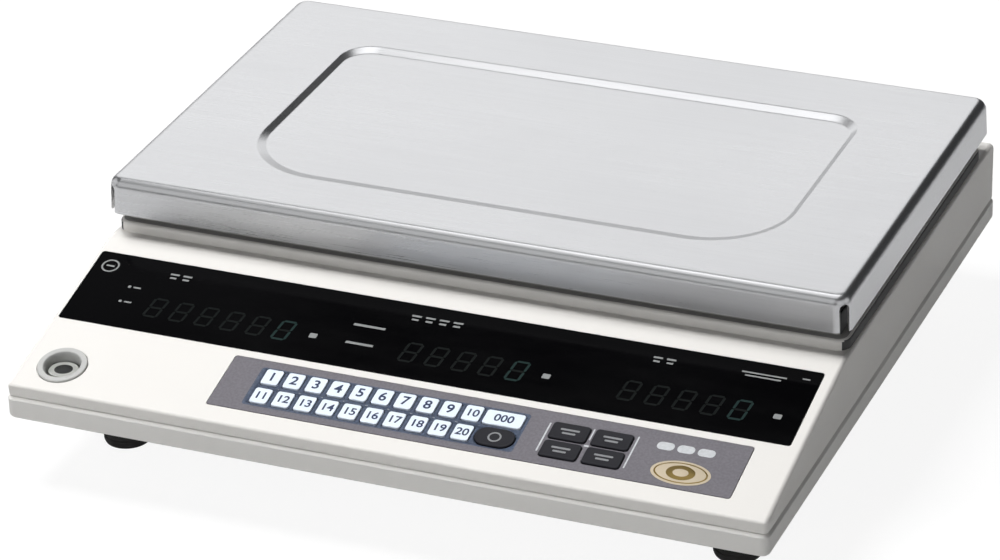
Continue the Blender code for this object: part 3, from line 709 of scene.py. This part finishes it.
def dish_loop(inset, z):
    """The dish's outline moved in: most at the front, whose ramp is the longest, and least at the sides."""
    side, fore = inset * RAMP_SIDE, inset * RAMP_FRONT
    front, back = DISH_R_FRONT - side, DISH_R_BACK - side
    x = (-DISH_X + side, DISH_X - side)
    y = (DISH_Y[0] + fore, DISH_Y[1] - inset)
    return rounded_loop(x, y, z, (front, front, back, back), PAN_STEPS)


def dish_ramp():
    """(inset, drop) pairs down the dish's ramp: straight, with a short round at each end."""
    bend = 1 / (2 * RAMP_ROUND * (1 - RAMP_ROUND))
    shares = [RAMP_ROUND * step / 4 for step in range(5)]
    upper = [(DISH_RAMP * share, DISH_DEPTH * bend * share ** 2) for share in shares]
    lower = [(DISH_RAMP * (1 - share), DISH_DEPTH * (1 - bend * share ** 2)) for share in reversed(shares)]
    return upper + lower


def pan_side(inset, z):
    return inset_loop((PAN[0].x, PAN[1].x), (PAN[0].y, PAN[1].y), z, PAN_CORNER, inset, PAN_STEPS)


def build_pan():
    """The pan's sheet: dished top, wide fold and leaning flange outside, then the same inside."""
    top, bottom = PAN[1].z, PAN[0].z
    across = dish_ramp()
    outside = [dish_loop(inset, top - drop) for inset, drop in reversed(across)]
    outside += [dish_loop(-0.0015, top), dish_loop(-0.0035, top)]
    outside += [pan_side(PAN_LEAN + FOLD_R + 0.0015, top)]
    outside += [pan_side(PAN_LEAN + inset, top - drop) for inset, drop in quarter(FOLD_R, 10)]
    outside += [pan_side(PAN_LEAN * 0.5, (top - FOLD_R + bottom) / 2)]
    outside += [pan_side(0.0, bottom + 0.0004), pan_side(0.0001, bottom + 0.0001)]
    inside = [pan_side(SHEET - 0.0001, bottom), pan_side(SHEET, bottom + 0.0002)]
    inner_r = FOLD_R - SHEET
    inside += [pan_side(PAN_LEAN + SHEET + inset, top - SHEET - drop)
               for inset, drop in reversed(quarter(inner_r, 4))]
    inside += [dish_loop(inset, top - SHEET - drop) for inset, drop in across]
    pan = loft("pan", outside + inside, MATS["pan"], sharp=50.0)
    cut_seams(pan)
    shade(pan, 50.0)
    weigh(pan)
    settle(pan, "pan", "steel", "weighing_pan")


def cut_seams(pan):
    """The folded flanges aren't welded: a narrow gap stays open at each corner."""
    round_part = PAN_CORNER * (1 - math.sqrt(0.5))
    height = (PAN[0].z - 0.01, PAN[1].z - FOLD_R * 0.8)
    for sx in (-1, 1):
        for sy, edge in ((-1, PAN[0].y), (1, PAN[1].y)):
            corner = Vector((sx * (PAN[1].x - round_part), edge - sy * round_part, 0.0))
            place = Matrix.Translation(corner) @ Matrix.Rotation(math.atan2(sy, sx), 4, "Z")
            slit = cushion("slit", (-0.004, 0.01), span(0.0, SEAM_WIDTH), height, corner=0.0001,
                           top=SEAM_WIDTH * 0.45, matrix=place)
            boolean(pan, "DIFFERENCE", slit)


# ---------------------------------------------------------------- sloping panel

def build_window():
    """The black window with its generic print: a ring, plain bars and small squares."""
    window = cushion("window_panel", WINDOW_X, WINDOW_T, (WINDOW_FLOOR, PANEL_PROUD), MATS["window"],
                     corner=0.0012, top=0.0002, matrix=SLOPE)
    weigh(window)
    settle(window, "housing", "window", "display_window")
    height = PANEL_PROUD + FLOAT
    marks = []

    def bar(x, t, width, tall, corner=0.0002):
        marks.append(printed("mark", span(x, width), span(t, tall), height, MATS["window_print"],
                             min(corner, tall / 2.1)))

    ring = [(0.0042, 0.0), (0.0042, PRINT), (0.0034, PRINT), (0.0034, 0.0)]
    place = on_slope(*RING_AT, height)
    marks.append(turned("mark", ring, 40, MATS["window_print"], place, closed=True))
    bar(*RING_AT, 0.0040, 0.0010)
    for t in (0.0735, 0.0635):
        bar(-0.1489, t, 0.0016, 0.0016, 0.0008)
        bar(-0.1452, t, 0.0036, 0.0009)
    for start, end in ((-0.1352, -0.1228), (-0.0185, 0.0075), (0.0935, 0.1055)):
        count = max(2, round((end - start) / 0.0062))
        pitch = (end - start) / count
        for index in range(count):
            centre = start + pitch * (index + 0.5)
            bar(centre, 0.0860, pitch * 0.70, 0.0011)
            bar(centre, 0.0836, pitch * 0.50, 0.0011)
    for t, width in ((0.0744, 0.0150), (0.0626, 0.0130)):
        bar(-0.0330, t, width, 0.0014)
    bar(0.1440, 0.0866, 0.0200, 0.0009)
    bar(0.1440, 0.0846, 0.0160, 0.0009)
    bar(0.1622, 0.0881, 0.0034, 0.0008)
    for x in (-0.0550, 0.0539, 0.1578):
        bar(x, 0.0628, 0.0036, 0.0030, 0.0006)
    settle(merged("window_marks", marks), "housing", "window")
    build_digits(height)


def segment_outlines():
    """Outlines of a seven-segment figure's bars: top, right, bottom, left and, last, the middle one."""
    side, top, middle = FIGURE_WIDTH / 2, FIGURE_HEIGHT, FIGURE_HEIGHT / 2
    ends = (
        ((-side, top), (side, top)), ((side, top), (side, middle)), ((side, middle), (side, 0)),
        ((-side, 0), (side, 0)), ((-side, middle), (-side, 0)), ((-side, top), (-side, middle)),
        ((-side, middle), (side, middle)),
    )
    outlines = []
    for first, last in ends:
        start, end = Vector(first), Vector(last)
        along = (end - start).normalized() * SEGMENT_WIDTH
        across = Vector((-along.y, along.x)) / 2
        tip = along / 2
        low, high = start + along * 0.6, end - along * 0.6
        hexagon = (low - tip, low - across, high - across, high + tip, high + across, low + across)
        outlines.append([(point.x + point.y * FIGURE_SLANT, point.y) for point in hexagon])
    return outlines


def build_digits(height):
    """Seven-segment figures in the window: the last of each display is lit, as a nought."""
    outlines = segment_outlines()
    for name, last_x, count in (("weight", -0.0690, 6), ("unit_weight", 0.0406, 5), ("count", 0.1413, 5)):
        bars = []
        for place in range(count):
            x = last_x - place * FIGURE_PITCH - FIGURE_HEIGHT * FIGURE_SLANT / 2
            for outline in outlines:
                look = "lit" if place == 0 and outline is not outlines[-1] else "ghost"
                rings = [[(*point, z) for point in outline] for z in (0.0, PRINT)]
                bars.append(loft("bar", rings, MATS[look], on_slope(x, FIGURE_T, height)))
        settle(merged("digits_" + name, bars), "housing", "display")


def key_list():
    """Every key: node, centre on the slope, size, corner radius, colour and legend."""
    keys = []
    for row, t in enumerate(NUMBER_ROWS):
        for column in range(NUMBER_COLUMNS):
            number = row * NUMBER_COLUMNS + column + 1
            x = NUMBER_X0 + column * NUMBER_PITCH
            name = f"number_key_{row + 1}_{column + 1}"
            keys.append((name, x, t, NUMBER_SIZE, 0.0012, "light_key", str(number)))
    keys.append(("clear_key", *CLEAR_KEY[:2], CLEAR_KEY[2:], 0.0014, "light_key", "000"))
    keys.append(("round_key", *ROUND_KEY[:2], ROUND_KEY[2:], 0.0055, "dark_key", ""))
    for row, t in enumerate(FUNCTION_T):
        for column, x in enumerate(FUNCTION_X):
            name = f"function_key_{row + 1}_{column + 1}"
            keys.append((name, x, t, FUNCTION_SIZE, 0.0016, "dark_key", ""))
    return keys


def key_loop(size, radius, inset, z):
    return inset_loop(span(0.0, size[0]), span(0.0, size[1]), z, radius, inset)


def key_cap(name, x, t, size, radius, mat):
    """A key with a rounded rim and a slightly hollow face."""
    rim, hollow = 0.00035, 0.00010
    loops = [key_loop(size, radius, 0.0, OVERLAY_FLOOR - 0.0004)]
    loops += [key_loop(size, radius, inset, KEY_TOP - drop) for inset, drop in reversed(quarter(rim, 4))]
    loops += [key_loop(size, radius, rim + 0.0004 * step, KEY_TOP - hollow * step / 3)
              for step in (1, 2, 3)]
    return loft(name, loops, mat, on_slope(x, t), sharp=40.0)


def legend(text, height, place, mat):
    """Printed figures, as a mesh."""
    curve = bpy.data.curves.new("legend", "FONT")
    curve.body = text
    curve.size = height
    curve.extrude = PRINT / 2
    curve.align_x = "CENTER"
    curve.align_y = "CENTER"
    curve.offset = height * 0.02
    source = bpy.data.objects.new("legend", curve)
    bpy.context.scene.collection.objects.link(source)
    graph = bpy.context.evaluated_depsgraph_get()
    mesh = bpy.data.meshes.new_from_object(source.evaluated_get(graph))
    bpy.data.objects.remove(source, do_unlink=True)
    made = bpy.data.objects.new("legend", mesh)
    bpy.context.scene.collection.objects.link(made)
    mesh.materials.clear()
    mesh.materials.append(mat)
    made.matrix_world = place
    return made


def build_keys():
    """Every key's cap and its generic legend: a figure, two bars or a ring."""
    face = KEY_TOP - 0.0001
    for name, x, t, size, radius, look, text in key_list():
        body = "press_" + name
        cap = key_cap(name + "_cap", x, t, size, radius, MATS[look])
        settle(weigh(cap), body, look, name)
        marks = []
        if text:
            height = 0.0072 if len(text) < 2 else 0.0060
            marks.append(legend(text, height, on_slope(x, t, face + PRINT), MATS["legend_dark"]))
        elif name.startswith("function"):
            for shift, width in ((0.0011, 0.0085), (-0.0011, 0.0060)):
                place = (span(x, width), span(t + shift, 0.0011))
                marks.append(printed("mark", *place, face, MATS["legend_grey"], 0.0004))
        else:
            ring = [(0.0030, 0.0), (0.0030, PRINT), (0.0022, PRINT), (0.0022, 0.0)]
            marks.append(turned("mark", ring, 36, MATS["legend_grey"], on_slope(x, t, face), closed=True))
        settle(merged(name + "_legend", marks), body, look)


def build_overlay():
    """The keypad's film with holes for the keys, and the blue-grey field behind the figures."""
    overlay = cushion("keypad_panel", OVERLAY_X, OVERLAY_T, (OVERLAY_FLOOR, PANEL_PROUD), MATS["overlay"],
                      corner=0.0010, top=0.00015, steps=2, matrix=SLOPE)
    boolean(overlay, "DIFFERENCE", key_holes())
    shade(overlay)
    weigh(overlay)
    settle(overlay, "housing", "overlay", "keypad_overlay")
    film = PANEL_PROUD + FLOAT
    field = printed("number_field", NUMBER_FIELD_X, NUMBER_FIELD_T, film, MATS["number_field"], 0.0016)
    boolean(field, "DIFFERENCE", key_holes())
    settle(field, "housing", "overlay")
    build_overlay_print(film)


def key_holes():
    """One cutter for the holes of all the keys."""
    holes = []
    for _, x, t, size, radius, _, _ in key_list():
        loops = [key_loop(size, radius, -GAP, z) for z in (-0.01, 0.01)]
        holes.append(loft("hole", loops, matrix=on_slope(x, t)))
    return merged("holes", holes)


def build_overlay_print(film):
    """Pale rules round the function keys, three plain pills and an oval badge."""
    marks = []

    def rule(x, t, width, tall):
        marks.append(printed("mark", span(x, width), span(t, tall), film, MATS["legend_light"],
                             min(width, tall) * 0.45))

    middle_x = sum(FUNCTION_X) / 2
    middle_t = sum(FUNCTION_T) / 2
    rule(FUNCTION_X[0] - 0.0100, middle_t + 0.001, 0.0007, 0.0180)
    rule(FUNCTION_X[1] + 0.0102, middle_t + 0.001, 0.0007, 0.0200)
    rule(middle_x, FUNCTION_T[0] + 0.0015, 0.0006, 0.0070)
    rule(middle_x, middle_t, 0.0022, 0.0010)
    for index in range(3):
        rule(0.1185 + index * 0.0090, 0.0338, 0.0076, 0.0046)
    for column in range(NUMBER_COLUMNS):
        rule(NUMBER_X0 + (column + 0.5) * NUMBER_PITCH, sum(NUMBER_ROWS) / 2, 0.0012, 0.0005)
    settle(merged("overlay_rules", marks), "housing", "overlay")
    ovals = [
        oval((0.0262, 0.0142), film, 0.00010, "cream"),
        oval((0.0236, 0.0122), film, 0.00014, "gold"),
        oval((0.0222, 0.0110), film, 0.00018, "cream"),
        oval((0.0128, 0.0088), film, 0.00024, "gold"),
        oval((0.0070, 0.0046), film, 0.00030, "cream"),
    ]
    settle(merged("oval_badge", ovals), "housing", "overlay")


def oval(size, film, rise, look):
    """A flat disc stretched to an oval, with a chamfered edge."""
    loops = []
    for inset, z in ((0.0, film), (0.0, film + rise * 0.7), (0.0002, film + rise)):
        half_x, half_y = size[0] / 2 - inset, size[1] / 2 - inset
        loops.append([(half_x * x, half_y * y, z) for x, y, _ in circle(1.0, z, 72)])
    return loft("oval", loops, MATS[look], on_slope(*BADGE_AT))


def build_level():
    """The round level: its ring lies in the slope, and its vial stands upright inside."""
    place = on_slope(LEVEL_X, LEVEL_T)
    ring = [(0.0078, -0.0060), (0.0092, -0.0060), (0.0092, -0.0009), (LEVEL_R, -0.0009), (LEVEL_R, 0.0003)]
    ring += [(LEVEL_R - inset, 0.0009 - drop) for inset, drop in reversed(quarter(0.0006, 4))]
    ring += [(0.0089, 0.0009), (0.0086, 0.0008), (0.0083, 0.0004), (0.0080, -0.0006), (0.0078, -0.0012)]
    bezel = turned("level_ring", ring, 96, MATS["bezel"], place, closed=True, sharp=50.0)
    settle(weigh(bezel), "housing", "bezel", "level_bezel")
    level = place @ Matrix.Translation((0.0, 0.0, VIAL_N)) @ Matrix.Rotation(-SLOPE_ANGLE, 4, "X")
    body = [(VIAL_R - 0.0004, -VIAL_HALF), (VIAL_R, 0.0004 - VIAL_HALF), (VIAL_R, LIQUID_TOP - 0.0002),
            (VIAL_R - 0.0002, LIQUID_TOP)]
    settle(turned("level_vial_body", body, 72, MATS["vial"], level), "housing", "vial", "level_vial")
    target = [(TARGET_R, LIQUID_TOP), (TARGET_R - 0.0002, LIQUID_TOP + 0.0001)]
    settle(turned("level_target", target, 72, MATS["vial_dark"], level), "housing", "vial")
    bubble = dome(BUBBLE_R, LIQUID_TOP + 0.00012, 0.0005)
    settle(turned("level_bubble", bubble, 48, MATS["vial_glass"], level), "housing", "vial")
    glass_low = LIQUID_TOP + 0.0002
    glass = dome(VIAL_R, glass_low, VIAL_HALF - glass_low)
    settle(turned("level_glass", glass, 72, MATS["vial_glass"], level), "housing", "vial")


def dome(radius, low, rise):
    """The profile of a shallow dome that stands on a flat face."""
    angles = [math.radians(degrees) for degrees in range(0, 90, 10)]
    return [(radius * math.cos(angle), low + rise * math.sin(angle)) for angle in angles]


# ---------------------------------------------------------------- feet

def build_feet():
    """Rubber feet: a chamfered sole, a groove round the side, a round shoulder and the stud's hole."""
    for index in range(1, FOOT_COUNT + 1):
        low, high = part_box(f"foot_pad_{index}")
        place = upright_over(f"foot_pad_{index}")
        radius, height = (high.x - low.x) / 2, high.z
        profile = [(radius - 0.0012, 0.0), (radius - 0.0006, 0.0002)]
        profile += [(radius - 0.0003, 0.0008), (radius, 0.0018)]
        profile += [(radius, 0.0036), (radius - 0.0004, 0.0039), (radius - 0.0004, 0.0045), (radius, 0.0048)]
        profile += [(radius - inset, height - drop) for inset, drop in reversed(quarter(0.0016, 4))]
        profile += [(0.0048, height), (0.0046, height - 0.0002), (0.0046, 0.0050)]
        pad = turned(f"foot_{index}_rubber", profile, 64, MATS["rubber"], place, sharp=50.0)
        settle(pad, f"foot_{index}", "rubber", f"foot_pad_{index}")
        build_stud(index, place, height + GAP)


def build_stud(index, place, low):
    """A threaded stud with a knurled thumb wheel: radius, height and whether that height is knurled."""
    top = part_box(f"foot_stud_{index}")[1].z
    wheel_top = low + 0.0034
    thread_low = low + 0.0040
    sides = 72
    shape = [(STUD_R, 0.0053, 0), (STUD_R, low, 0), (0.0083, low, 0), (0.0089, low + 0.0005, 1),
             (0.0089, low + 0.0029, 1), (0.0083, wheel_top, 0), (STUD_R, wheel_top, 0)]
    turns = int((top - 0.001 - thread_low) / THREAD_PITCH)
    for step in range(turns * 2):
        radius = STUD_R if step % 2 else STUD_R - 0.0005
        shape.append((radius, thread_low + step * THREAD_PITCH / 2, 0))
    shape.append((0.0030, top, 0))
    loops = []
    for radius, z, knurled in shape:
        ridges = circle(radius, z, sides)
        grooves = circle(radius - knurled * KNURL, z, sides)
        loops.append([ridges[side] if side % 3 else grooves[side] for side in range(sides)])
    stud = loft(f"foot_{index}_stud", loops, MATS["zinc"], place, sharp=30.0)
    settle(stud, f"foot_{index}_screw", "zinc", f"foot_stud_{index}")


# ---------------------------------------------------------------- details

def build_screws():
    """Cross-head case screws in the tray's underside."""
    head = [(0.0020, -0.0010), (0.0033, -0.0010), (0.0034, 0.0002), (0.0029, 0.0009), (0.0018, 0.0013)]
    spots = [(x, y) for y in (-SCREW_Y, SCREW_Y) for x in (-SCREW_X, SCREW_X)]
    spots += [(0.0, SCREW_Y), (0.0, -SCREW_Y)]
    for index, (x, y) in enumerate(spots, start=1):
        place = Matrix.Translation((x, y, TRAY_LIP)) @ Matrix.Rotation(math.pi, 4, "X")
        screw = turned(f"case_screw_{index}", head, 36, MATS["zinc"], place)
        for turn in (0, 90):
            slot = cushion("slot", span(0.0, 0.0042), span(0.0, 0.0008), (0.0005, 0.01), corner=0.0002,
                           matrix=place @ Matrix.Rotation(math.radians(turn), 4, "Z"))
            boolean(screw, "DIFFERENCE", slot)
        shade(screw)
        settle(screw, "housing", "zinc")


def finish_cad_nodes():
    """CAD nodes that keep their shape get their finish."""
    looks = {
        "pan_support_frame": "frame", "load_cell_riser": "machined", "load_cell": "machined",
        "load_cell_spacer": "machined", "overload_stop_screw": "zinc", "display_board": "board",
        "keypad_board": "board", "main_board": "board", "display_weight": "display",
        "display_unit_weight": "display", "display_count": "display", "transformer": "iron",
    }
    looks.update({f"pan_pad_{index}": "rubber" for index in range(1, 5)})
    for name, look in looks.items():
        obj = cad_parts[name]
        obj.data.materials.clear()
        obj.data.materials.append(MATS[look])


def build_rear():
    """The inlet, the switch's frame and its rocker: the CAD shapes with moulded edges."""
    mouldings = (("power_inlet", "housing", 0.0004), ("switch_frame", "housing", 0.0005),
                 ("power_rocker", "rocker", 0.0004))
    for name, body, edge in mouldings:
        bm = bmesh.new()
        bm.from_mesh(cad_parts[name].data)
        bmesh.ops.remove_doubles(bm, verts=bm.verts, dist=1e-6)
        bmesh.ops.dissolve_limit(bm, angle_limit=math.radians(1), verts=bm.verts, edges=bm.edges)
        piece = finish_object(name + "_moulding", bm, MATS["black"])
        bevel = piece.modifiers.new("edges", "BEVEL")
        bevel.width = edge
        bevel.segments = 3
        bevel.angle_limit = math.radians(40)
        apply_modifiers(piece)
        shade(piece, 40.0)
        settle(weigh(piece), body, "black", name)


# ---------------------------------------------------------------- studio

def build_floor():
    """A sheet of matt paper that looks pale, but throws only half of its light back."""
    side = (-FLOOR_HALF, FLOOR_HALF)
    floor = cushion("floor", side, side, (-0.02, 0.0), corner=0.3, top=0.001)
    mat, tree, shader, place = start_material("floor_paper")
    mottle = calculate(tree, "MULTIPLY", spread(tree, noise(tree, place, 2.0, 3.0), 0.0, 1.0), 0.02)
    ray = node(tree, "ShaderNodeLightPath").outputs
    direct = ray["Is Camera Ray"]
    level = spread(tree, direct, BOUNCE, SEEN, 0.0, 1.0)
    tree.links.new(calculate(tree, "ADD", level, mottle), shader.inputs["Base Color"])
    shader.inputs["Roughness"].default_value = 0.9
    shader.inputs["Specular IOR Level"].default_value = 0.1
    mirrored = calculate(tree, "MULTIPLY", ray["Is Glossy Ray"], MIRROR_LIFT)
    lift = calculate(tree, "MULTIPLY_ADD", direct, LIFT, mirrored)
    shader.inputs["Emission Color"].default_value = (1.0, 1.0, 1.0, 1.0)
    tree.links.new(lift, shader.inputs["Emission Strength"])
    floor.data.materials.clear()
    floor.data.materials.append(mat)


def softbox(name, place, target, size, radiance, mirrored=True, lighting=True):
    """A rectangular light of that radiance; it can be left out of reflections, or be only in them."""
    data = bpy.data.lights.new(name, "AREA")
    data.shape = "RECTANGLE"
    data.size, data.size_y = size
    data.energy = radiance * math.pi * size[0] * size[1]
    obj = bpy.data.objects.new(name, data)
    obj.visible_glossy = mirrored
    obj.visible_diffuse = lighting
    obj.location = place
    obj.rotation_mode = "QUATERNION"
    obj.rotation_quaternion = (Vector(target) - Vector(place)).to_track_quat("-Z", "Y")
    bpy.context.scene.collection.objects.link(obj)


def build_lights():
    """A dim room, four softboxes that light the object, and cards that only its gloss sees."""
    world = bpy.data.worlds.new("studio")
    bpy.context.scene.world = world
    world.use_nodes = True
    tree = world.node_tree
    background = tree.nodes["Background"]
    background.inputs["Color"].default_value = (0.93, 0.96, 1.0, 1.0)
    direct = node(tree, "ShaderNodeLightPath").outputs["Is Camera Ray"]
    tree.links.new(spread(tree, direct, AMBIENT, BACKDROP, 0.0, 1.0), background.inputs["Strength"])
    softbox("overhead", (-0.66, -0.05, 1.95), (0.0, -0.02, 0.05), (0.85, 0.85), 20.2, mirrored=False)
    softbox("front_fill", (-0.6, -2.2, 0.7), (0.0, 0.0, 0.05), (1.0, 0.8), 5.2, mirrored=False)
    softbox("right_fill", (2.40, 0.20, 0.60), CENTRE, (1.4, 1.0), 0.80, mirrored=False)
    softbox("back_panel", (-1.30, 2.5, 1.40), CENTRE, (2.6, 1.4), 1.18)
    softbox("zenith_panel", (-0.35, -0.20, 2.10), (-0.35, -0.20, 0.0), (1.5, 1.10), 0.95, lighting=False)
    softbox("sky_panel", (-0.35, 0.74, 2.10), (-0.35, 0.74, 0.0), (1.5, 0.76), 2.00, lighting=False)
    softbox("gap_panel", (-0.95, 1.75, 1.95), CENTRE, (1.7, 0.7), 0.20, lighting=False)
    softbox("low_card", (-1.41, 2.65, 0.33), CENTRE, (2.4, 0.66), 0.46, lighting=False)
    softbox("front_sky", (-0.80, -1.70, 1.30), CENTRE, (2.2, 1.9), 0.60, lighting=False)
    softbox("front_right_card", (1.60, -1.90, 1.10), CENTRE, (2.4, 2.0), 0.60, lighting=False)
    softbox("right_card", (2.70, 0.10, 1.10), CENTRE, (2.2, 2.0), 0.60, lighting=False)
    softbox("left_card", (-2.70, -0.20, 1.10), CENTRE, (2.6, 2.0), 0.70, lighting=False)


def build_camera():
    """The photograph's view: from the front right, above, on a long lens, rolled slightly."""
    data = bpy.data.cameras.new("camera")
    data.lens = CAMERA_LENS
    data.sensor_width = 36.0
    data.clip_start, data.clip_end = 0.05, 20.0
    camera = bpy.data.objects.new("camera", data)
    aim = Vector(CAMERA_WAY).to_track_quat("-Z", "Y").to_matrix().to_4x4()
    camera.matrix_world = Matrix.Translation(CAMERA_AT) @ aim @ Matrix.Rotation(CAMERA_ROLL, 4, "Z")
    bpy.context.scene.collection.objects.link(camera)
    bpy.context.scene.camera = camera


def main():
    bpy.context.scene.view_settings.view_transform = "Standard"
    build_camera()
    build_cover()
    build_tray()
    build_pan()
    build_window()
    build_overlay()
    build_keys()
    build_level()
    build_feet()
    build_screws()
    build_rear()
    finish_cad_nodes()
    build_floor()
    build_lights()


main()
